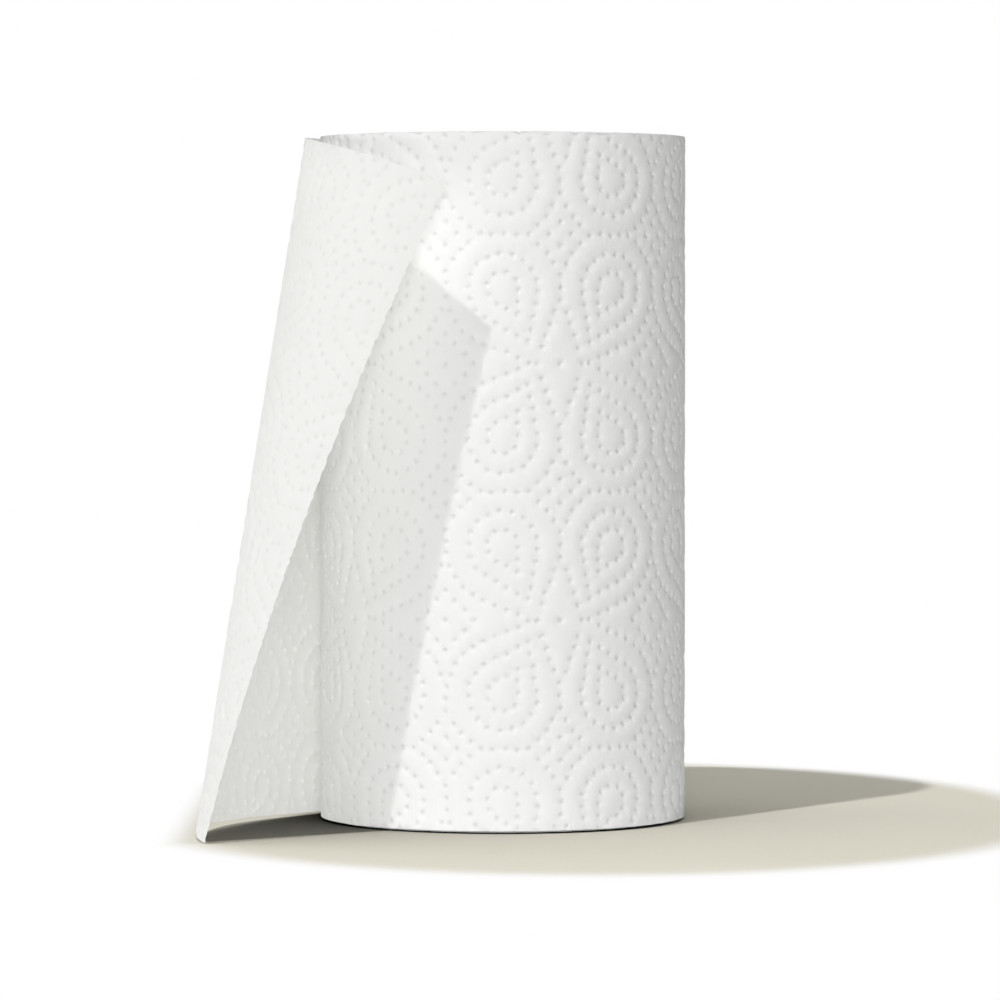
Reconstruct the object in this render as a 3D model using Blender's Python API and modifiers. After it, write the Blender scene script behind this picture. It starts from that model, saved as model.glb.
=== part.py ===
"""A roll of embossed kitchen paper standing on its end, with its outer sheet peeled part of the way off.

The paper is one long web. It starts on the cardboard core, winds outwards turn by turn, leaves the roll
along an upright line and curls away as a loose sheet that ends in a torn row of perforations. The turns
touch, so they are one body, and a groove winds between them on both ends of the roll.

Paper bends but doesn't stretch, so the loose sheet is drawn by its rulings. These are the lines that stay
straight when paper is bent. On the roll they are upright, and on the sheet they lean.

Metres, +Z up. The origin is on the roll's axis, at the end that it stands on.
"""

from math import ceil, cos, floor, pi, radians, sin, sqrt, tau

import bmesh
import bpy
from mathutils import Matrix, Vector

MM = 0.001

# The roll
ROLL_HEIGHT = 225.0 * MM
ROLL_DIAMETER = 121.6 * MM

# The cardboard core, a push fit in the innermost turn
CORE_OUTER_DIAMETER = 42.0 * MM
CORE_WALL = 0.9 * MM
CORE_CLEARANCE = 0.3 * MM

# The paper web, two embossed plies thick
WEB_THICKNESS = 0.75 * MM
GROOVE_DEPTH = 0.6 * MM

# The loose sheet, measured along its top edge from the line where it leaves the roll
PEEL_ANGLE = radians(137.6)
LOOSE_LENGTH = 149.4 * MM
CURL_RADIUS_AT_ROLL = 74.1 * MM
CURL_RADIUS_AT_EDGE = 83.0 * MM
LEAN_SHARE = 0.3065
LEAN_RUN = 35.6 * MM
FOOT_LIFT = 2.5 * MM
LIFT_RUN = 110.0 * MM

# The perforation along the free edge
TOOTH_PITCH = 5.5 * MM
TOOTH_DEPTH = 0.9 * MM

# How finely the round shapes are drawn: sides to a turn, and how many times finer the outermost turn is
TURN_SIDES = 22
OUTER_TURN_FINENESS = 4
CORE_SIDES = 64
SHEET_STRIPS = 14
SMOOTH_ANGLE = radians(40)
MERGE_DISTANCE = 0.01 * MM

# Worked out from the sizes above
CORE_RADIUS = CORE_OUTER_DIAMETER / 2
BORE_RADIUS = (CORE_RADIUS + CORE_CLEARANCE) / cos(pi / TURN_SIDES)
OUTER_PATH_RADIUS = (ROLL_DIAMETER - WEB_THICKNESS) / 2
WOUND_TURNS = (OUTER_PATH_RADIUS - BORE_RADIUS) / WEB_THICKNESS - 0.5

PAPER_WHITE = (0.91, 0.91, 0.895, 1.0)
KRAFT_BROWN = (0.52, 0.38, 0.25, 1.0)


def clear_scene():
    """Remove every object that the file holds."""
    for item in list(bpy.data.objects):
        bpy.data.objects.remove(item, do_unlink=True)


def make_collection(name):
    """A collection of the scene that holds the finished parts."""
    collection = bpy.data.collections.new(name)
    bpy.context.scene.collection.children.link(collection)
    return collection


def make_material(name, color, roughness):
    """A plain matt material."""
    material = bpy.data.materials.new(name)
    material.use_nodes = True
    surface = material.node_tree.nodes["Principled BSDF"]
    surface.inputs["Base Color"].default_value = color
    surface.inputs["Roughness"].default_value = roughness
    surface.inputs["Metallic"].default_value = 0.0
    material.diffuse_color = color
    return material


def ease(share):
    """Rise smoothly from 0 to 1 as the share does, level at both ends."""
    share = min(max(share, 0.0), 1.0)
    return share * share * (3 - 2 * share)


def web_point(turns, offset, height):
    """A point of the wound web, so many turns back from the peel line and so far outside its mid-line."""
    angle = PEEL_ANGLE - turns * tau
    radius = OUTER_PATH_RADIUS - turns * WEB_THICKNESS + offset
    return Vector((radius * cos(angle), radius * sin(angle), height))


def join(mesh, line, other):
    """Faces between two lines of points that run side by side."""
    for step in range(len(line) - 1):
        mesh.faces.new((line[step], line[step + 1], other[step + 1], other[step]))


class WoundEnd:
    """One end of the roll: the crest of each turn, and the groove or edge on each turn's outer side.

    Both are lists of points along the web, from the peel line inwards, and a groove is shared by the
    turns on its two sides. The outermost turn has finer lists of its own, and is cut square outside its
    crest, which leaves a flat land to stand on.
    """

    def __init__(self, mesh, height, groove_height):
        fine_steps = TURN_SIDES * OUTER_TURN_FINENESS
        half = WEB_THICKNESS / 2

        def points(steps, sides, offset, level):
            return [mesh.verts.new(web_point(step / sides, offset, level)) for step in steps]

        self.fine_crest = points(range(fine_steps + 1), fine_steps, 0.0, height)
        self.fine_edge = points(range(fine_steps + 1), fine_steps, half, height)
        self.last = floor(WOUND_TURNS * TURN_SIDES)
        between = range(TURN_SIDES + 1, self.last)
        innermost = range(self.last, self.last + TURN_SIDES + 1)
        self.crest = self.fine_crest[::OUTER_TURN_FINENESS]
        self.crest += points(range(TURN_SIDES + 1, self.last + 1), TURN_SIDES, 0.0, height)
        self.groove = self.fine_edge[::OUTER_TURN_FINENESS]
        self.groove += points(between, TURN_SIDES, half, groove_height)
        self.groove += points(innermost, TURN_SIDES, half, height)

    def add_faces(self, mesh):
        """The land and the inner slope of the outermost turn, then both slopes of the others."""
        join(mesh, self.fine_crest, self.fine_edge)
        for step in range(TURN_SIDES):
            first = step * OUTER_TURN_FINENESS
            crest = self.fine_crest[first : first + OUTER_TURN_FINENESS + 1]
            groove = self.groove[step + TURN_SIDES : step + TURN_SIDES + 2]
            mesh.faces.new(crest + groove[::-1])
        join(mesh, self.crest[TURN_SIDES:], self.groove[TURN_SIDES : self.last + 1])
        join(mesh, self.crest[TURN_SIDES:], self.groove[2 * TURN_SIDES :])

    def web_edge(self, step):
        """The web's outer face, crest and inner face at a step of the winding."""
        return [self.groove[step], self.crest[step], self.groove[step + TURN_SIDES]]


def sheet_stations():
    """Places along the loose sheet's top edge where a ruling starts, each with how far it may run.

    A ruling runs down to the bottom edge or out to the free edge, whichever it meets first. Those that
    meet the free edge end by turns on a tooth and in the notch beside it.
    """
    corner = LOOSE_LENGTH - ROLL_HEIGHT * LEAN_SHARE
    stations = [(corner * strip / SHEET_STRIPS, LOOSE_LENGTH) for strip in range(1, SHEET_STRIPS + 1)]
    half_teeth = 2 * ceil(ROLL_HEIGHT / TOOTH_PITCH)
    for half in range(1, half_teeth):
        notch = TOOTH_DEPTH if half % 2 else 0.0
        stations.append((corner + (LOOSE_LENGTH - corner) * half / half_teeth, LOOSE_LENGTH - notch))
    return stations


def sheet_rulings():
    """The sheet's rulings, from the roll to the free edge, as top point, bottom point and outward side.

    The sheet bends about its own rulings only. Each step turns the top edge's direction and the sheet's
    upward direction about the ruling between them, half of it before the step and half after. The foot
    rides up a little on the way, so that the sheet stands on its far corner alone.
    """
    top = web_point(0.0, 0.0, ROLL_HEIGHT)
    along = Vector((-sin(PEEL_ANGLE), cos(PEEL_ANGLE), 0.0))
    up = Vector((0.0, 0.0, 1.0))
    travelled = 0.0
    rulings = []
    for station, limit in sheet_stations():
        step = station - travelled
        middle = travelled + step / 2
        share = middle / LOOSE_LENGTH
        curl = (1 - share) / CURL_RADIUS_AT_ROLL + share / CURL_RADIUS_AT_EDGE
        lean = LEAN_SHARE * ease(middle / LEAN_RUN)
        half_bend = Matrix.Rotation(curl * step * sqrt(1 + lean * lean) / 2, 3, up - lean * along)
        along = half_bend @ along
        top = top + along * step
        along = half_bend @ along
        up = half_bend @ half_bend @ up
        travelled = station

        lean = LEAN_SHARE * ease(travelled / LEAN_RUN)
        drop = ROLL_HEIGHT
        if travelled + drop * lean > limit:
            drop = (limit - travelled) / lean
        bottom = top - drop * (up - lean * along)
        bottom.z += FOOT_LIFT * ease((travelled + drop * lean) / LIFT_RUN) * drop / ROLL_HEIGHT
        rulings.append((top, bottom, along.cross(up)))
    return rulings


def make_towel_web(collection, material):
    """The wound turns between their two grooved ends, and the loose sheet drawn out from the peel line."""
    web = bmesh.new()
    upper = WoundEnd(web, ROLL_HEIGHT, ROLL_HEIGHT - GROOVE_DEPTH)
    lower = WoundEnd(web, 0.0, GROOVE_DEPTH)
    upper.add_faces(web)
    lower.add_faces(web)
    join(web, upper.fine_edge, lower.fine_edge)
    join(web, upper.groove[upper.last :], lower.groove[lower.last :])
    web.faces.new(upper.web_edge(upper.last) + lower.web_edge(lower.last)[::-1])

    half = WEB_THICKNESS / 2
    section = upper.web_edge(0) + lower.web_edge(0)[::-1]
    for top, bottom, outward in sheet_rulings():
        sides = [outward * half, outward * 0.0, outward * -half]
        points = [top + side for side in sides] + [bottom + side for side in sides[::-1]]
        following = [web.verts.new(point) for point in points]
        join(web, section + section[:1], following + following[:1])
        section = following
    web.faces.new(section)
    bmesh.ops.recalc_face_normals(web, faces=web.faces)

    mesh = bpy.data.meshes.new("towel_web")
    web.to_mesh(mesh)
    web.free()
    mesh.shade_smooth()
    mesh.set_sharp_from_angle(angle=SMOOTH_ANGLE)
    mesh.materials.append(material)
    towel = bpy.data.objects.new("towel_web", mesh)
    collection.objects.link(towel)
    return towel


def make_core_tube(collection, material):
    """The cardboard tube, a wall turned about the roll's axis."""
    inner_radius = CORE_RADIUS - CORE_WALL
    corners = (
        (CORE_RADIUS, ROLL_HEIGHT),
        (CORE_RADIUS, 0.0),
        (inner_radius, 0.0),
        (inner_radius, ROLL_HEIGHT),
    )
    profile = bmesh.new()
    points = [profile.verts.new((radius, 0.0, height)) for radius, height in corners]
    for point, following in zip(points, points[1:] + points[:1]):
        profile.edges.new((point, following))
    mesh = bpy.data.meshes.new("core_tube")
    profile.to_mesh(mesh)
    profile.free()

    mesh.materials.append(material)
    tube = bpy.data.objects.new("core_tube", mesh)
    collection.objects.link(tube)
    turned = tube.modifiers.new("turned wall", "SCREW")
    turned.axis = "Z"
    turned.angle = tau
    turned.steps = CORE_SIDES
    turned.render_steps = CORE_SIDES
    turned.use_merge_vertices = True
    turned.merge_threshold = MERGE_DISTANCE
    turned.use_smooth_shade = True
    return tube


def main():
    clear_scene()
    parts = make_collection("paper_towel_roll")
    make_towel_web(parts, make_material("tissue_paper", PAPER_WHITE, 0.95))
    make_core_tube(parts, make_material("core_cardboard", KRAFT_BROWN, 0.85))


main()
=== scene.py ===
"""Looks of the paper towel roll: embossed paper, wound ends, a card core, and the studio around them.

Metres, +Z up, in the CAD frame. The web is worked out flat first, as a distance along it from the line
where the loose sheet leaves the roll (negative on the roll) and a height above its foot, and then bent.
"""

from math import atan, ceil, cos, pi, radians, sin, tau

import bpy
import numpy as np
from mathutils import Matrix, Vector
from mathutils.geometry import delaunay_2d_cdt
from mathutils.kdtree import KDTree


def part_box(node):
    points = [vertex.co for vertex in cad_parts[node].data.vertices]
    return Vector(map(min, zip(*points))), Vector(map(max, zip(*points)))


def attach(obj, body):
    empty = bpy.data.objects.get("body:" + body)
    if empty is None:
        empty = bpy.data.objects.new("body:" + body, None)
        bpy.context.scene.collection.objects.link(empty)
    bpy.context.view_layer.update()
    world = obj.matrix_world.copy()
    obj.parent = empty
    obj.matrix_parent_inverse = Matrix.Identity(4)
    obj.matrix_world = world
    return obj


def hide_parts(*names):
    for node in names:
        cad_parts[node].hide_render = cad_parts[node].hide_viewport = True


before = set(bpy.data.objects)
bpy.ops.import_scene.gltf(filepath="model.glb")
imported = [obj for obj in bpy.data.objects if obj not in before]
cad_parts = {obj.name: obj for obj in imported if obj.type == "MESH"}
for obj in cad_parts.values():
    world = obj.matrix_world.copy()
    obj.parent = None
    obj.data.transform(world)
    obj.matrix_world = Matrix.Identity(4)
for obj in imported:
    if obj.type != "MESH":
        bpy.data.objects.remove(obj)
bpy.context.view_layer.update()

MM = 0.001

# The roll, with the sizes of the CAD source, but 0.03 mm less in radius, which keeps it inside its box
ROLL_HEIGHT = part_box("core_tube")[1][2]
ROLL_RADIUS = 60.77 * MM
WEB_THICKNESS = 0.75 * MM
GROOVE_DEPTH = 0.6 * MM
BORE_RADIUS = 21.5 * MM
CORE_RADIUS = 21.0 * MM
CORE_WALL = 0.9 * MM
PATH_RADIUS = ROLL_RADIUS - WEB_THICKNESS / 2

# The loose sheet, with the sizes of the CAD source
PEEL_ANGLE = radians(137.6)
LOOSE_LENGTH = 149.4 * MM
CURL_RADIUS_AT_ROLL = 74.1 * MM
CURL_RADIUS_AT_EDGE = 83.0 * MM
LEAN_SHARE = 0.3065
LEAN_RUN = 35.6 * MM
FOOT_LIFT = 2.5 * MM
LIFT_RUN = 110.0 * MM

# The emboss: nested drops of dots, mirrored from column to column and from row to row
COLUMN_PITCH = 37.9 * MM
PAIR_PITCH = 82.5 * MM
PAIR_HALF_GAP = 17.35 * MM
FIRST_PAIR = 27.1 * MM
FIRST_COLUMN = -239.6 * MM
DOT_PITCH = 4.0 * MM
DROP_RADII = (5.2 * MM, 11.3 * MM, 18.5 * MM)
DROP_TIPS = (9.6 * MM, 19.0 * MM, 26.6 * MM)
DROP_TIP_ANGLES = (radians(60), radians(64), radians(67))
SMALL_DIAMOND = 3.7 * MM
SMALL_DIAMOND_SIDE_DOTS = 1
LARGE_DIAMOND = 9.6 * MM
LARGE_DIAMOND_SIDE_DOTS = 3
MERGE_REACH = 2.7 * MM
EMBOSS_MARGIN = 6.0 * MM

# How far each dot strays from its place, by waves with so many radians to a millimetre
DOT_WANDER = 0.22 * MM
WANDER_WAVES = (1.9, 2.3)
WANDER_SWAY = 2
WANDER_SWAY_WAVE = 1.3

# The relief of the paper's outer side: a dimple at each dot, in valleys that run along the rows of dots
DOT_DEPTH = 0.44 * MM
DOT_FLOOR = 0.30 * MM
DOT_RADIUS = 1.25 * MM
DOT_DEPTH_CHANGE = 0.18
DOT_DEPTH_WAVES = (0.71, 0.83)
VALLEY_DEPTH = 0.29 * MM
VALLEY_REACH = 2.2 * MM
VALLEY_NEIGHBOURS = 6
VALLEY_SHARES = (0.25, 0.95)

# The loose sheet's torn edge, and how far from it the emboss begins
EDGE_RUN = 3.5 * MM
TOOTH_PITCH = 5.5 * MM
TOOTH_DEPTH = 0.65 * MM

# The outline of one tooth, as shares of its pitch and depth, and how the teeth differ from one another
TOOTH_OUTLINE = ((0.0, 0.0), (0.14, 0.12), (0.24, 1.0), (0.5, 0.8), (0.76, 0.95), (0.88, 0.15))
TOOTH_SIZE = 0.75
TOOTH_SIZE_CHANGE = 0.35
TOOTH_SIZE_WAVES = (2.4, 5.9)
TOOTH_ROUGHNESS = ((0.16, 12.9, 37.0), (0.12, 4.7, 11.0))
TOOTH_TIP_ROUGHNESS = 0.4
TOOTH_DEEPEST = 1.1
TOOTH_SHIFT = (0.05, 7.7, 3.0)

# The cut ends of the wound turns, and the gap under the outer ones
EDGE_ROUNDING = 0.22 * MM
EDGE_ROUNDING_RUN = 0.9 * MM
FOOT_GAP = 0.85 * MM
FOOT_GAP_RUN = 12.0 * MM
FOOT_GAP_TURNS = (4.0, 6.0)
CREST_SHARE = 0.30
CREST_RAGGED = 0.10 * MM
CREST_WAVES = ((37, 5), (61, -3))

# One turn's cut edge, from its outer side to its inner: shares of the web's thickness, and levels
TURN_OUTLINE = ((0.5, -GROOVE_DEPTH), (CREST_SHARE, 0.0), (-CREST_SHARE, 0.0), (-0.5, -GROOVE_DEPTH))

# The small bevel of the core's cut ends
CORE_BEVEL = 0.12 * MM

# How finely the shapes are worked out and drawn
DROP_STEPS = 720
TOP_EDGE_STEPS = 600
RULING_HALVINGS = 40
END_SIDES = 120
CORE_SIDES = 160
SHARP_ANGLE = radians(60)

# The flat points that the web is drawn with: a dot's middle and its rings, the paper between, the border
DOT_RINGS = ((0.42 * MM, 6), (0.84 * MM, 8), (1.30 * MM, 8))
FILL_PITCH = 2.5 * MM
FILL_ROW_SHARE = 0.866
FILL_START_SHARES = (0.25, 0.75)
FILL_CLEARANCE_SHARE = 0.3
BORDER_PITCH = 1.5 * MM
BORDER_MARGIN = 0.35 * MM

# How they are joined: by triangles inside the border alone, with points that are so close taken as one
TRIANGLES_INSIDE = 1
SAME_POINT_MM = 1e-5


def ease(share):
    """Rise smoothly from 0 to 1, for numbers and arrays."""
    share = np.clip(share, 0.0, 1.0)
    return share * share * (3 - 2 * share)


# The emboss


def drop_curve(radius, tip, tip_angle, flip_along, flip_up):
    """Dots round one drop: a circle and its two tangents to a tip, evenly spaced.

    One of them is at the tip if their number is even, and opposite the tip if it is odd.
    """
    reach = np.arccos(radius / tip)
    turn = np.linspace(-pi, pi, DROP_STEPS + 1)
    off_tip = np.abs(turn)
    distance = np.where(off_tip < reach, radius / np.cos(reach - np.minimum(off_tip, reach)), radius)
    angle = turn - tip_angle
    line = np.stack([distance * np.cos(angle), distance * np.sin(angle)], 1)
    length = np.concatenate([[0], np.cumsum(np.hypot(*np.diff(line, axis=0).T))])
    count = round(length[-1] / DOT_PITCH)
    places = (np.arange(count) + 0.5 * (count % 2)) / count * length[-1]
    places = (places + length[-1] / 2) % length[-1]
    dots = np.stack([np.interp(places, length, line[:, 0]), np.interp(places, length, line[:, 1])], 1)
    return dots * (flip_along, flip_up)


def diamond(half_size, dots_per_side):
    """Dots along the four sides of a square stood on its corner."""
    steps = np.arange(dots_per_side) / dots_per_side
    side = np.stack([1 - steps, steps], 1) * half_size
    turned = [side, side[:, ::-1] * (-1, 1), side * (-1, -1), side[:, ::-1] * (1, -1)]
    return np.concatenate(turned)


def emboss_dots(start, end):
    """Every dot of the web between two places along it, as an array of (along, height)."""
    dots = []
    first = int(np.floor((start - FIRST_COLUMN) / COLUMN_PITCH)) - 1
    last = int(np.ceil((end - FIRST_COLUMN) / COLUMN_PITCH)) + 1
    pairs = range(-1, ceil(ROLL_HEIGHT / PAIR_PITCH) + 1)
    for column in range(first, last + 1):
        along = FIRST_COLUMN + column * COLUMN_PITCH
        towards_next = 1 if column % 2 == 0 else -1
        middle = along + COLUMN_PITCH / 2
        for pair in pairs:
            height = FIRST_PAIR + pair * PAIR_PITCH
            for side in (1, -1):
                centre = (along, height + side * PAIR_HALF_GAP)
                for radius, tip, angle in zip(DROP_RADII, DROP_TIPS, DROP_TIP_ANGLES):
                    dots.append(drop_curve(radius, tip, angle, towards_next, -side) + centre)
            dots.append(diamond(SMALL_DIAMOND, SMALL_DIAMOND_SIDE_DOTS) + (middle, height))
            gap = (middle, height + PAIR_PITCH / 2)
            dots.append(np.array([gap]))
            if towards_next < 0:
                dots.append(diamond(LARGE_DIAMOND, LARGE_DIAMOND_SIDE_DOTS) + gap)
    dots = np.concatenate(dots)
    low = np.array([start, 0.0]) - EMBOSS_MARGIN
    high = np.array([end, ROLL_HEIGHT]) + EMBOSS_MARGIN
    return merge_close(dots[np.all((dots > low) & (dots < high), axis=1)])


def tree_of(dots):
    """A search tree over the dots."""
    tree = KDTree(len(dots))
    for index, (along, height) in enumerate(dots):
        tree.insert((along, height, 0.0), index)
    tree.balance()
    return tree


def merge_close(dots):
    """Dots that lie nearly on each other, where two drops touch, become one between them."""
    tree = tree_of(dots)
    taken = set()
    merged = []
    for index, (along, height) in enumerate(dots):
        if index in taken:
            continue
        found = [hit[1] for hit in tree.find_range((along, height, 0.0), MERGE_REACH)]
        near = [other for other in found if other not in taken]
        taken.update(near)
        merged.append(dots[near].mean(axis=0))
    merged = np.array(merged)
    places = merged[:, ::-1] / MM
    sway = np.sin(places[:, ::-1] * WANDER_SWAY_WAVE) * WANDER_SWAY
    return merged + DOT_WANDER * np.sin(places * WANDER_WAVES + sway)


def distance_to_dots(points, tree):
    """How far each flat point is from the nearest dot."""
    return np.array([tree.find((along, height, 0.0))[2] for along, height in points])


def emboss(points, tree):
    """Level of each flat point against the paper's highest, and how much of it is dimple, from 0 to 1."""
    found = [
        [hit[2] for hit in tree.find_n((along, height, 0.0), VALLEY_NEIGHBOURS)]
        for along, height in points
    ]
    distances = np.array(found)
    crowd = np.exp(-((distances / VALLEY_REACH) ** 2)).sum(axis=1)
    low, high = VALLEY_SHARES
    dimple = 1 - ease((distances.min(axis=1) - DOT_FLOOR) / (DOT_RADIUS - DOT_FLOOR))
    waves = np.sin(points / MM * DOT_DEPTH_WAVES)
    depth = DOT_DEPTH * (1 + DOT_DEPTH_CHANGE * waves[:, 0] * waves[:, 1])
    return -VALLEY_DEPTH * ease((crowd - low) / (high - low)) - depth * dimple, dimple


# The flat web


def dot_points(dots):
    """The flat points that draw every dot."""
    points = [dots]
    for ring, (radius, count) in enumerate(DOT_RINGS):
        angle = (np.arange(count) + 0.5 * ring) * tau / count
        offsets = np.stack([radius * np.cos(angle), radius * np.sin(angle)], 1)
        points.append((dots[:, None, :] + offsets[None, :, :]).reshape(-1, 2))
    return np.concatenate(points)


def fill_points(start, end, tree):
    """A loose grid of points over the plain paper between the dots."""
    points = []
    for row, height in enumerate(np.arange(FILL_PITCH / 2, ROLL_HEIGHT, FILL_PITCH * FILL_ROW_SHARE)):
        along = np.arange(start + FILL_PITCH * FILL_START_SHARES[row % 2], end, FILL_PITCH)
        points.append(np.stack([along, np.full_like(along, height)], 1))
    points = np.concatenate(points)
    outermost_ring = DOT_RINGS[-1][0]
    return points[distance_to_dots(points, tree) > outermost_ring + FILL_PITCH * FILL_CLEARANCE_SHARE]


def edge_line(first, last):
    """Points along a straight border, without its last point."""
    first, last = np.array(first), np.array(last)
    count = max(1, round(float(np.hypot(*(last - first))) / BORDER_PITCH))
    return [tuple(first + (last - first) * step / count) for step in range(count)]


def flat_web(start, end_line, foot_line):
    """Triangulates a stretch of the web flat, from a place along it to an upright line of points.

    Gives the points, the triangles, the border's point numbers, and the relief and dimple at each point.
    """
    end = max(along for along, height in end_line)
    dots = emboss_dots(start, end)
    tree = tree_of(dots)
    border = foot_line + end_line[:-1]
    border += edge_line(end_line[-1], (start, ROLL_HEIGHT))
    border += edge_line((start, ROLL_HEIGHT), foot_line[0])
    edge = np.array(end_line)
    foot = np.array(foot_line)
    inner = np.concatenate([dot_points(dots), fill_points(start, end, tree)])
    kept = (
        (inner[:, 0] > start + BORDER_MARGIN)
        & (inner[:, 0] < np.interp(inner[:, 1], edge[:, 1], edge[:, 0]) - BORDER_MARGIN)
        & (inner[:, 1] > np.interp(inner[:, 0], foot[:, 0], foot[:, 1]) + BORDER_MARGIN)
        & (inner[:, 1] < ROLL_HEIGHT - BORDER_MARGIN)
    )
    points = np.concatenate([np.array(border), inner[kept]])
    count = len(border)
    loop = [(index, (index + 1) % count) for index in range(count)]
    vectors = [Vector(point) for point in points / MM]
    done = delaunay_2d_cdt(vectors, loop, [], TRIANGLES_INSIDE, SAME_POINT_MM, True)
    flat = np.array([tuple(point) for point in done[0]]) * MM
    triangles = np.array([tuple(face) for face in done[2]])
    middles = flat[triangles].mean(axis=1)
    within = (middles[:, 0] < np.interp(middles[:, 1], edge[:, 1], edge[:, 0])) & (
        middles[:, 1] > np.interp(middles[:, 0], foot[:, 0], foot[:, 1])
    )
    new_border = [0] * count
    for index, originals in enumerate(done[3]):
        for original in originals:
            if original < count:
                new_border[original] = index
    relief, dimple = emboss(flat, tree)
    return flat, triangles[within], new_border, relief, dimple


# Bending the web


def wound_place(flat, offset):
    """Flat points bent onto the roll's outermost turn, so far outside the web's mid-line."""
    turns = -flat[:, 0] / (tau * PATH_RADIUS)
    angle = PEEL_ANGLE - turns * tau
    radius = PATH_RADIUS - turns * WEB_THICKNESS + offset
    return np.stack([radius * np.cos(angle), radius * np.sin(angle), flat[:, 1]], 1)


def lean_at(along):
    """How far the sheet's rulings lean along the web for each step down it."""
    return LEAN_SHARE * ease(along / LEAN_RUN)


def turned_about(vector, axis, angle):
    """A vector turned about an axis by an angle."""
    axis = axis / np.linalg.norm(axis)
    across = np.cross(axis, vector)
    return vector * cos(angle) + across * sin(angle) + axis * axis.dot(vector) * (1 - cos(angle))


def top_edge():
    """Point, direction and upward direction of the sheet at even steps along its top edge."""
    step = LOOSE_LENGTH / TOP_EDGE_STEPS
    point = np.array([PATH_RADIUS * cos(PEEL_ANGLE), PATH_RADIUS * sin(PEEL_ANGLE), ROLL_HEIGHT])
    along = np.array([-sin(PEEL_ANGLE), cos(PEEL_ANGLE), 0.0])
    up = np.array([0.0, 0.0, 1.0])
    rows = [(point, along, up)]
    for index in range(TOP_EDGE_STEPS):
        middle = (index + 0.5) * step
        share = middle / LOOSE_LENGTH
        curl = (1 - share) / CURL_RADIUS_AT_ROLL + share / CURL_RADIUS_AT_EDGE
        lean = float(lean_at(middle))
        ruling = up - lean * along
        half_bend = curl * step * (1 + lean * lean) ** 0.5 / 2
        along = turned_about(along, ruling, half_bend)
        point = point + along * step
        along = turned_about(along, ruling, half_bend)
        up = turned_about(up, ruling, 2 * half_bend)
        rows.append((point, along, up))
    return [np.array(column) for column in zip(*rows)]


def sheet_place(flat, offset):
    """Flat points bent onto the loose sheet, so far outside the web's mid-line."""
    stations = np.linspace(0.0, LOOSE_LENGTH, TOP_EDGE_STEPS + 1)
    points, alongs, ups = top_edge()
    drop = ROLL_HEIGHT - flat[:, 1]
    low, high = np.zeros(len(flat)), np.full(len(flat), LOOSE_LENGTH)
    for _ in range(RULING_HALVINGS):
        middle = (low + high) / 2
        short = middle + drop * lean_at(middle) < flat[:, 0]
        low, high = np.where(short, middle, low), np.where(short, high, middle)
    start = (low + high) / 2

    def at(rows):
        return np.stack([np.interp(start, stations, rows[:, axis]) for axis in range(3)], 1)

    along, up = at(alongs), at(ups)
    lean = lean_at(start)[:, None]
    place = at(points) - drop[:, None] * (up - lean * along)
    place[:, 2] += FOOT_LIFT * ease(flat[:, 0] / LIFT_RUN) * drop / ROLL_HEIGHT
    outward = np.cross(along, up)
    outward /= np.linalg.norm(outward, axis=1)[:, None]
    return place + outward * np.reshape(offset, (-1, 1))


# Meshes and pieces


def make_piece(name, points, faces, material, node, flat=None, dimple=None):
    """A smooth-shaded mesh that stands for a CAD node and rides on the one body."""
    mesh = bpy.data.meshes.new(name)
    mesh.from_pydata([tuple(point) for point in points], [], [tuple(face) for face in faces])
    if flat is not None:
        layer = mesh.uv_layers.new(name="web")
        corners = np.empty(len(mesh.loops), dtype=np.int32)
        mesh.loops.foreach_get("vertex_index", corners)
        layer.data.foreach_set("uv", flat[corners].astype(np.float32).ravel())
        layer = mesh.attributes.new("dimple", "FLOAT", "POINT")
        layer.data.foreach_set("value", dimple.astype(np.float32))
    mesh.shade_smooth()
    mesh.set_sharp_from_angle(angle=SHARP_ANGLE)
    mesh.materials.append(material)
    piece = bpy.data.objects.new(name, mesh)
    bpy.context.scene.collection.objects.link(piece)
    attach(piece, "root")
    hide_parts(node)
    return piece


def wound_foot(start, end):
    """The outermost turn's foot, which stands a little off the floor."""
    line = edge_line((start, 0.0), (end, 0.0))
    return [(along, FOOT_GAP * float(ease((end - along) / FOOT_GAP_RUN))) for along, height in line]


def make_outer_turn(material):
    """The roll's outermost turn, once round and back to the line where the loose sheet leaves it.

    Its outer side is closed towards its mid-line along the top and the foot.
    """
    start = -tau * PATH_RADIUS
    end_line = edge_line((0.0, 0.0), (0.0, ROLL_HEIGHT)) + [(0.0, ROLL_HEIGHT)]
    flat, faces, border, relief, dimple = flat_web(start, end_line, wound_foot(start, 0.0))
    foot = FOOT_GAP * ease(-flat[:, 0] / FOOT_GAP_RUN)
    to_edge = np.minimum(flat[:, 1] - foot, ROLL_HEIGHT - flat[:, 1]) / EDGE_ROUNDING_RUN
    rounding = EDGE_ROUNDING * (1 - np.minimum(to_edge, 1.0)) ** 2
    outside = wound_place(flat, WEB_THICKNESS / 2 + relief - rounding)
    rim = flat[border]
    inside = wound_place(rim, np.zeros(len(rim)))
    count = len(flat)
    faces = list(faces)
    for index in range(len(border)):
        following = (index + 1) % len(border)
        upright = abs(rim[index][0] - rim[following][0]) < BORDER_PITCH / 10
        if not upright:
            faces.append((border[following], border[index], count + index, count + following))
    return make_piece(
        "outer_turn",
        np.concatenate([outside, inside]),
        faces,
        material,
        "towel_web",
        np.concatenate([flat, rim]),
        np.concatenate([dimple, np.zeros(len(rim))]),
    )


def tooth_wave(tooth, place, size, by_tooth, by_place):
    """A small number that differs from tooth to tooth and along each."""
    return size * sin(tooth * by_tooth + place * by_place)


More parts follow.
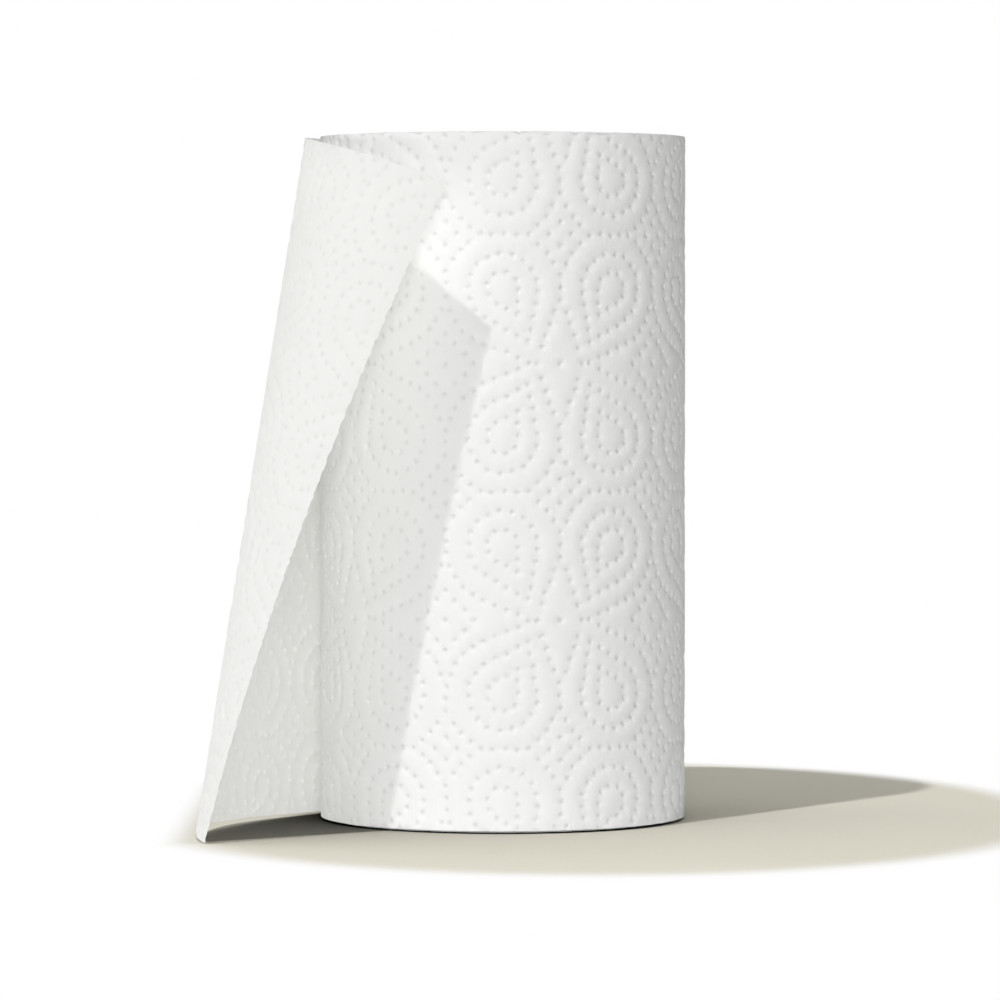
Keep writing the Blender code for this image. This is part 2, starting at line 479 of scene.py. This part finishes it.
def free_edge_line():
    """The torn perforation: short bonds stand out a little between the cuts."""
    teeth = ceil(ROLL_HEIGHT / TOOTH_PITCH)
    first_wave, second_wave = TOOTH_SIZE_WAVES
    line = []
    for tooth in range(teeth):
        size = TOOTH_SIZE + TOOTH_SIZE_CHANGE * sin(tooth * first_wave) * cos(tooth * second_wave)
        for place, depth in TOOTH_OUTLINE:
            rough = sum(tooth_wave(tooth, place, *wave) for wave in TOOTH_ROUGHNESS)
            notch = depth * size + rough * (TOOTH_TIP_ROUGHNESS + depth)
            notch = TOOTH_DEPTH * min(max(notch, 0.0), TOOTH_DEEPEST)
            at_foot = tooth == 0 and place == 0.0
            shift = 0.0 if at_foot else tooth_wave(tooth, place, *TOOTH_SHIFT)
            line.append((LOOSE_LENGTH - notch, (tooth + place + shift) / teeth * ROLL_HEIGHT))
    line.append((LOOSE_LENGTH, ROLL_HEIGHT))
    return line


def make_sheet(material):
    """The peeled sheet: thin paper with dimples outside and bumps inside, and a torn edge."""
    end_line = free_edge_line()
    flat, faces, _, relief, dimple = flat_web(0.0, end_line, edge_line((0.0, 0.0), end_line[0]))
    plump = ease((LOOSE_LENGTH - flat[:, 0]) / EDGE_RUN)
    points = sheet_place(flat, (WEB_THICKNESS / 2 + relief) * plump)
    dimple = dimple * plump
    return make_piece("loose_sheet", points, faces, material, "towel_web", flat, dimple)


def make_end(name, top, material):
    """One wound end of the roll: every turn's cut edge, with a groove between it and the next."""
    turns = (PATH_RADIUS - BORE_RADIUS) / WEB_THICKNESS
    steps = int(turns * END_SIDES)
    turn = np.arange(steps + 1) / END_SIDES
    angle = PEEL_ANGLE - turn * tau
    radius = PATH_RADIUS - turn * WEB_THICKNESS
    waves = sum(np.sin(angle * around + turn * inwards) for around, inwards in CREST_WAVES)
    ragged = CREST_RAGGED * (waves - len(CREST_WAVES)) / (2 * len(CREST_WAVES))
    first_turns, last_turns = FOOT_GAP_TURNS
    foot = FOOT_GAP * ease(turn * tau * PATH_RADIUS / FOOT_GAP_RUN)
    foot *= 1 - ease((turn - first_turns) / (last_turns - first_turns))
    rows = []
    for share, level in TURN_OUTLINE:
        reach = radius + share * WEB_THICKNESS
        depth = np.full(len(turn), level) + (ragged if level == 0.0 else 0.0)
        if share > CREST_SHARE:
            # The outermost turn has no groove outside it, and meets the rounded edge of its outer side
            depth = np.where(turn < 1, 0.0, depth)
            reach = np.where(turn < 1, reach - EDGE_ROUNDING, reach)
        height = ROLL_HEIGHT + depth if top else foot - depth
        rows.append(np.stack([reach * np.cos(angle), reach * np.sin(angle), height], 1))
    count = steps + 1
    faces = []
    for row in range(len(rows) - 1):
        for step in range(steps):
            corner = row * count + step
            corners = (corner, corner + 1, corner + count + 1, corner + count)
            faces.append(corners if top else corners[::-1])
    return make_piece(name, np.concatenate(rows), faces, material, "towel_web")


def make_core(material):
    """The card tube with slightly rounded, cut ends."""
    inner = CORE_RADIUS - CORE_WALL
    outline = [
        (CORE_RADIUS, CORE_BEVEL),
        (CORE_RADIUS, ROLL_HEIGHT - CORE_BEVEL),
        (CORE_RADIUS - CORE_BEVEL, ROLL_HEIGHT),
        (inner + CORE_BEVEL, ROLL_HEIGHT),
        (inner, ROLL_HEIGHT - CORE_BEVEL),
        (inner, CORE_BEVEL),
        (inner + CORE_BEVEL, 0.0),
        (CORE_RADIUS - CORE_BEVEL, 0.0),
    ]
    points = [
        (radius * cos(side * tau / CORE_SIDES), radius * sin(side * tau / CORE_SIDES), height)
        for side in range(CORE_SIDES)
        for radius, height in outline
    ]
    size = len(outline)
    faces = []
    for side in range(CORE_SIDES):
        base, after = side * size, (side + 1) % CORE_SIDES * size
        for corner in range(size):
            other = (corner + 1) % size
            faces.append((base + corner, after + corner, after + other, base + other))
    return make_piece("card_core", points, faces, material, "core_tube")


# Nodes


def new_material(name):
    """A material, its node tree, and the tree's first shader and output."""
    material = bpy.data.materials.new(name)
    material.use_nodes = True
    tree = material.node_tree
    return material, tree, tree.nodes["Principled BSDF"], tree.nodes["Material Output"]


def feed(tree, value, socket):
    """Give an input its value, which is another node's output or a plain number or colour."""
    if isinstance(value, bpy.types.NodeSocket):
        tree.links.new(value, socket)
    else:
        socket.default_value = value


def add_node(tree, kind, **values):
    """A new node, with values for its inputs and settings by name."""
    node = tree.nodes.new(kind)
    for name, value in values.items():
        if name in node.inputs:
            feed(tree, value, node.inputs[name])
        else:
            setattr(node, name, value)
    return node


def add_math(tree, operation, *values):
    """The number that an operation makes of up to three others."""
    node = add_node(tree, "ShaderNodeMath", operation=operation)
    for value, socket in zip(values, node.inputs):
        feed(tree, value, socket)
    return node.outputs[0]


def add_measure(tree, operation, *vectors):
    """The number that an operation makes of one vector or two."""
    node = add_node(tree, "ShaderNodeVectorMath", operation=operation)
    for vector, socket in zip(vectors, node.inputs):
        feed(tree, vector, socket)
    return node.outputs["Value"]


def add_fade(tree, value, limits):
    """A share that rises smoothly from 0 to 1 as a value goes from one limit to the other."""
    fade = add_node(tree, "ShaderNodeMapRange", interpolation_type="SMOOTHSTEP", Value=value)
    fade.inputs["From Min"].default_value = limits[0]
    fade.inputs["From Max"].default_value = limits[1]
    return fade.outputs["Result"]


def add_tint(tree, share, first, second):
    """A colour between two others."""
    tint = add_node(tree, "ShaderNodeMix", data_type="RGBA")
    for name, value in (("Factor", share), ("A", first), ("B", second)):
        feed(tree, value, tint.inputs[name])
    return tint.outputs["Result"]


def add_mix(tree, share, first, second):
    """A shader between two others."""
    mix = add_node(tree, "ShaderNodeMixShader")
    for value, socket in zip((share, first, second), mix.inputs):
        feed(tree, value, socket)
    return mix.outputs["Shader"]


# Materials

# The paper, plain and with painted shade where it is pressed in, on the roll and on the single loose
# sheet
PAPER_ROUGHNESS = 0.95
PAPER_SPECULAR = 0.10
WOUND_COLOR = (0.93, 0.93, 0.925, 1.0)
WOUND_DIMPLE_SHADE_COLOR = (0.83, 0.83, 0.82, 1.0)
SINGLE_COLOR = (0.98, 0.98, 0.975, 1.0)
SINGLE_DIMPLE_SHADE_COLOR = (0.93, 0.93, 0.92, 1.0)

# The light that passes through the single sheet, less of it over a short run beside the roll
THROUGH_COLOR = (0.985, 0.98, 0.94, 1.0)
THROUGH_SHARE = 0.30
THROUGH_DIMPLE_SHARE = 0.13
LOOSE_RUN = 14.0 * MM

# The creases across the web, and the finer fibres
CREPE_SCALE = (1700.0, 110.0, 1.0)
CREPE_DETAIL = 3.0
CREPE_ROUGHNESS = 0.55
CREPE_HEIGHT = 0.06 * MM
FIBRE_SCALE = 3200.0
FIBRE_DETAIL = 2.0
FIBRE_ROUGHNESS = 0.6
FIBRE_HEIGHT = 0.02 * MM

# The card, wound from strips with a dark seam between them
CARD_COLOR = (0.42, 0.29, 0.18, 1.0)
CARD_DARK_COLOR = (0.30, 0.20, 0.12, 1.0)
CARD_ROUGHNESS = 0.85
CARD_STRIP_RISE = 70 * MM
CARD_SEAM_SHARE = 0.012
CARD_GRAIN_SCALE = 900.0
CARD_GRAIN_DETAIL = 4.0
CARD_GRAIN_SHARE = 0.5


def paper_bump(tree, on_web):
    """Fine creases across the web and finer fibres, as a bump."""
    place = add_node(tree, "ShaderNodeTexCoord").outputs["Object"]
    fibres = add_node(tree, "ShaderNodeTexNoise", Vector=place, Scale=FIBRE_SCALE)
    fibres.inputs["Detail"].default_value = FIBRE_DETAIL
    fibres.inputs["Roughness"].default_value = FIBRE_ROUGHNESS
    grain = add_node(tree, "ShaderNodeBump", Strength=1.0, Distance=FIBRE_HEIGHT)
    tree.links.new(fibres.outputs["Fac"], grain.inputs["Height"])
    if not on_web:
        return grain.outputs["Normal"]
    web = add_node(tree, "ShaderNodeUVMap", uv_map="web")
    stretch = add_node(tree, "ShaderNodeMapping", Vector=web.outputs["UV"], Scale=CREPE_SCALE)
    creases = add_node(tree, "ShaderNodeTexNoise", Vector=stretch.outputs["Vector"], Scale=1.0)
    creases.inputs["Detail"].default_value = CREPE_DETAIL
    creases.inputs["Roughness"].default_value = CREPE_ROUGHNESS
    crepe = add_node(tree, "ShaderNodeBump", Strength=1.0, Distance=CREPE_HEIGHT)
    tree.links.new(creases.outputs["Fac"], crepe.inputs["Height"])
    tree.links.new(grain.outputs["Normal"], crepe.inputs["Normal"])
    return crepe.outputs["Normal"]


def matt_paper(tree, surface, color, on_web):
    """Make a surface plain matt paper, and give its bump."""
    surface.inputs["Roughness"].default_value = PAPER_ROUGHNESS
    surface.inputs["Specular IOR Level"].default_value = PAPER_SPECULAR
    surface.inputs["Base Color"].default_value = color
    bump = paper_bump(tree, on_web)
    tree.links.new(bump, surface.inputs["Normal"])
    return bump


def dimple_share(tree):
    """How much of the paper is dimple, as the mesh holds it."""
    return add_node(tree, "ShaderNodeAttribute", attribute_name="dimple").outputs["Fac"]


def wound_paper(name, on_web):
    """The paper of the roll, which lets no light through."""
    material, tree, surface, _ = new_material(name)
    matt_paper(tree, surface, WOUND_COLOR, on_web)
    if on_web:
        # Darker where the paper is pressed in: painted shade in the dimples
        tint = add_tint(tree, dimple_share(tree), WOUND_COLOR, WOUND_DIMPLE_SHADE_COLOR)
        tree.links.new(tint, surface.inputs["Base Color"])
    return material


def single_paper():
    """The paper of the loose sheet, which glows where light falls on its other side."""
    material, tree, surface, output = new_material("single_paper")
    bump = matt_paper(tree, surface, SINGLE_COLOR, True)
    web = add_node(tree, "ShaderNodeUVMap", uv_map="web")
    parts = add_node(tree, "ShaderNodeSeparateXYZ", Vector=web.outputs["UV"])
    loose = add_fade(tree, parts.outputs["X"], (0.0, LOOSE_RUN))
    pressed = dimple_share(tree)
    # Darker where the paper is pressed in: painted shade in the dimples
    tint = add_tint(tree, pressed, SINGLE_COLOR, SINGLE_DIMPLE_SHADE_COLOR)
    tree.links.new(add_tint(tree, loose, WOUND_COLOR, tint), surface.inputs["Base Color"])
    through = add_node(tree, "ShaderNodeBsdfTranslucent", Color=THROUGH_COLOR, Normal=bump)
    share = add_math(tree, "MULTIPLY_ADD", pressed, THROUGH_DIMPLE_SHARE, THROUGH_SHARE)
    share = add_math(tree, "MULTIPLY", share, loose)
    mix = add_mix(tree, share, surface.outputs["BSDF"], through.outputs["BSDF"])
    tree.links.new(mix, output.inputs["Surface"])
    return material


def card_material():
    """Brown card with the seams of its wound strips."""
    material, tree, surface, _ = new_material("card")
    surface.inputs["Roughness"].default_value = CARD_ROUGHNESS
    place = add_node(tree, "ShaderNodeTexCoord").outputs["Object"]
    parts = add_node(tree, "ShaderNodeSeparateXYZ", Vector=place)
    around = add_math(tree, "ARCTAN2", parts.outputs["Y"], parts.outputs["X"])
    turns = add_math(tree, "DIVIDE", around, tau)
    rise = add_math(tree, "DIVIDE", parts.outputs["Z"], CARD_STRIP_RISE)
    phase = add_math(tree, "FRACT", add_math(tree, "ADD", turns, rise))
    seam = add_math(tree, "LESS_THAN", phase, CARD_SEAM_SHARE)
    noise = add_node(tree, "ShaderNodeTexNoise", Vector=place, Scale=CARD_GRAIN_SCALE)
    noise.inputs["Detail"].default_value = CARD_GRAIN_DETAIL
    darkness = add_math(tree, "MULTIPLY_ADD", noise.outputs["Fac"], CARD_GRAIN_SHARE, seam)
    tint = add_tint(tree, darkness, CARD_COLOR, CARD_DARK_COLOR)
    tree.links.new(tint, surface.inputs["Base Color"])
    return material


# The studio

WHITE = (1.0, 1.0, 1.0, 1.0)

# The camera. Its focal length and the horizon's height are in pixels of a picture with this width
PICTURE_WIDTH = 1000
FOCAL_LENGTH = 5640
HORIZON_ABOVE_MIDDLE = 179
SENSOR_WIDTH = 36
CAMERA_PLACE = (-0.66 * MM, -1864.0 * MM, 164.4 * MM)
CAMERA_PITCH = atan(HORIZON_ABOVE_MIDDLE / FOCAL_LENGTH)
CAMERA_LENS = FOCAL_LENGTH / PICTURE_WIDTH * SENSOR_WIDTH
CAMERA_CLIP = (0.05, 50)

# A small lamp high on the front left, a soft one near the camera, and a low one far on the left, whose
# light comes through the loose sheet
KEY_PLACE = (-274.0 * MM, -500.0 * MM, 1050.0 * MM)
KEY_RADIUS = 12.0 * MM
KEY_POWER = 14.4
FRONT_PLACE = (20.0 * MM, -1800.0 * MM, 260.0 * MM)
FRONT_RADIUS = 200.0 * MM
FRONT_POWER = 12.7
LEFT_PLACE = (-1500.0 * MM, 400.0 * MM, 40.0 * MM)
LEFT_RADIUS = 200.0 * MM
LEFT_POWER = 24.0

# The light from all sides, and what is added to it straight overhead
SKY_COLOR = (1.0, 1.0, 0.985, 1.0)
SKY_STRENGTH = 0.03
OVERHEAD_STRENGTH = 0.46

# The floor, with the oval and the line on the left beyond which it fades to white
FLOOR_COLOR = (0.93, 0.93, 0.92, 1.0)
FLOOR_SEEN_COLOR = (1.0, 0.965, 0.835)
FLOOR_SIZE = 6.0
FLOOR_DROP = 0.1 * MM
FLOOR_MIDDLE = (29.0 * MM, 20.0 * MM, 0.0)
FLOOR_REACH = (155.0 * MM, 215.0 * MM, 1.0)
FLOOR_FADE_SHARES = (0.92, 1.06)
FLOOR_LEFT_FADE = (-95.0 * MM, -110.0 * MM)

# How the floor darkens close to the paper
CONTACT_REACH = 300.0 * MM
CONTACT_DARKNESS = 0.7
CONTACT_SAMPLES = 12

# How the floor darkens inside the sheet's curl: within a circle, and behind a line across its front
CURL_SHADE = 0.43
CURL_MIDDLE = (4.8 * MM, -62.5 * MM, 0.0)
CURL_REACH = (101.5 * MM, 100.0 * MM)
CURL_FRONT_FACING = (-0.588, 0.809, 0.0)
CURL_FRONT = (-15.7 * MM, -14.7 * MM)


def make_camera():
    """The camera, a little above the roll's middle and tipped down at it."""
    data = bpy.data.cameras.new("camera")
    data.lens = CAMERA_LENS
    data.sensor_width = SENSOR_WIDTH
    data.clip_start, data.clip_end = CAMERA_CLIP
    camera = bpy.data.objects.new("camera", data)
    camera.location = CAMERA_PLACE
    camera.rotation_euler = (pi / 2 - CAMERA_PITCH, 0, 0)
    bpy.context.scene.collection.objects.link(camera)
    bpy.context.scene.camera = camera


def make_lamp(name, place, radius, power):
    """A lamp whose light doesn't fall off, as if it stood farther away."""
    data = bpy.data.lights.new(name, "POINT")
    data.energy = power
    data.shadow_soft_size = radius
    data.use_nodes = True
    tree = data.node_tree
    falloff = add_node(tree, "ShaderNodeLightFalloff", Strength=1.0)
    tree.links.new(falloff.outputs["Constant"], tree.nodes["Emission"].inputs["Strength"])
    lamp = bpy.data.objects.new(name, data)
    lamp.location = place
    bpy.context.scene.collection.objects.link(lamp)


def make_world():
    """Soft light from everywhere, more of it from above, seen as plain white by the camera."""
    world = bpy.data.worlds.new("studio")
    world.use_nodes = True
    bpy.context.scene.world = world
    tree = world.node_tree
    place = add_node(tree, "ShaderNodeTexCoord")
    parts = add_node(tree, "ShaderNodeSeparateXYZ", Vector=place.outputs["Generated"])
    above = add_math(tree, "MAXIMUM", parts.outputs["Z"], 0.0)
    soft = tree.nodes["Background"]
    soft.inputs["Color"].default_value = SKY_COLOR
    strength = add_math(tree, "MULTIPLY_ADD", above, OVERHEAD_STRENGTH, SKY_STRENGTH)
    tree.links.new(strength, soft.inputs["Strength"])
    white = add_node(tree, "ShaderNodeBackground", Color=WHITE, Strength=1.0)
    seen = add_node(tree, "ShaderNodeLightPath").outputs["Is Camera Ray"]
    mix = add_mix(tree, seen, soft.outputs[0], white.outputs[0])
    tree.links.new(mix, tree.nodes["World Output"].inputs["Surface"])


def floor_shade(tree, place):
    """How light the floor still looks close to the paper and inside the sheet's curl, as a share."""
    close = add_node(tree, "ShaderNodeAmbientOcclusion", samples=CONTACT_SAMPLES, Distance=CONTACT_REACH)
    contact = add_math(tree, "POWER", close.outputs["AO"], CONTACT_DARKNESS)
    within = add_fade(tree, add_measure(tree, "DISTANCE", place, CURL_MIDDLE), CURL_REACH)
    behind = add_fade(tree, add_measure(tree, "DOT_PRODUCT", place, CURL_FRONT_FACING), CURL_FRONT)
    curled = add_math(tree, "MULTIPLY", within, behind)
    dimmed = add_node(tree, "ShaderNodeMapRange", Value=curled)
    dimmed.inputs["To Min"].default_value = 1.0
    dimmed.inputs["To Max"].default_value = CURL_SHADE
    return add_math(tree, "MULTIPLY", dimmed.outputs["Result"], contact)


def floor_fade(tree, place):
    """How far the floor has faded to white."""
    oval = add_node(tree, "ShaderNodeMapping", vector_type="TEXTURE", Vector=place)
    oval.inputs["Location"].default_value = FLOOR_MIDDLE
    oval.inputs["Scale"].default_value = FLOOR_REACH
    around = add_fade(tree, add_measure(tree, "LENGTH", oval.outputs["Vector"]), FLOOR_FADE_SHARES)
    parts = add_node(tree, "ShaderNodeSeparateXYZ", Vector=place)
    left = add_fade(tree, parts.outputs["X"], FLOOR_LEFT_FADE)
    return add_math(tree, "MAXIMUM", around, left)


def floor_material():
    """Pale and matt, and for the camera's eye alone shaded near the paper and faded to white."""
    material, tree, surface, output = new_material("floor")
    tree.nodes.remove(surface)
    place = add_node(tree, "ShaderNodeNewGeometry").outputs["Position"]
    seen = add_node(tree, "ShaderNodeLightPath").outputs["Is Camera Ray"]
    shaded = add_node(tree, "ShaderNodeVectorMath", operation="SCALE", Scale=floor_shade(tree, place))
    shaded.inputs[0].default_value = FLOOR_SEEN_COLOR
    tint = add_tint(tree, seen, FLOOR_COLOR, shaded.outputs["Vector"])
    matt = add_node(tree, "ShaderNodeBsdfDiffuse", Color=tint)
    white = add_node(tree, "ShaderNodeEmission", Color=WHITE, Strength=1.0)
    faded = add_math(tree, "MULTIPLY", floor_fade(tree, place), seen)
    mix = add_mix(tree, faded, matt.outputs[0], white.outputs[0])
    tree.links.new(mix, output.inputs["Surface"])
    return material


def make_floor():
    """A pale floor that takes the roll's shadow, darkens near the paper and fades to white around it."""
    half = FLOOR_SIZE / 2
    corners = [(-half, -half, 0), (half, -half, 0), (half, half, 0), (-half, half, 0)]
    mesh = bpy.data.meshes.new("floor")
    mesh.from_pydata(corners, [], [(0, 1, 2, 3)])
    mesh.materials.append(floor_material())
    floor = bpy.data.objects.new("floor", mesh)
    floor.location.z = -FLOOR_DROP
    bpy.context.scene.collection.objects.link(floor)


def main():
    make_outer_turn(wound_paper("wound_paper", True))
    make_sheet(single_paper())
    cut_paper = wound_paper("cut_paper", False)
    make_end("top_end", True, cut_paper)
    make_end("bottom_end", False, cut_paper)
    make_core(card_material())
    make_camera()
    make_lamp("key", KEY_PLACE, KEY_RADIUS, KEY_POWER)
    make_lamp("front", FRONT_PLACE, FRONT_RADIUS, FRONT_POWER)
    make_lamp("left", LEFT_PLACE, LEFT_RADIUS, LEFT_POWER)
    make_world()
    make_floor()
    bpy.context.scene.view_settings.view_transform = "Standard"


main()
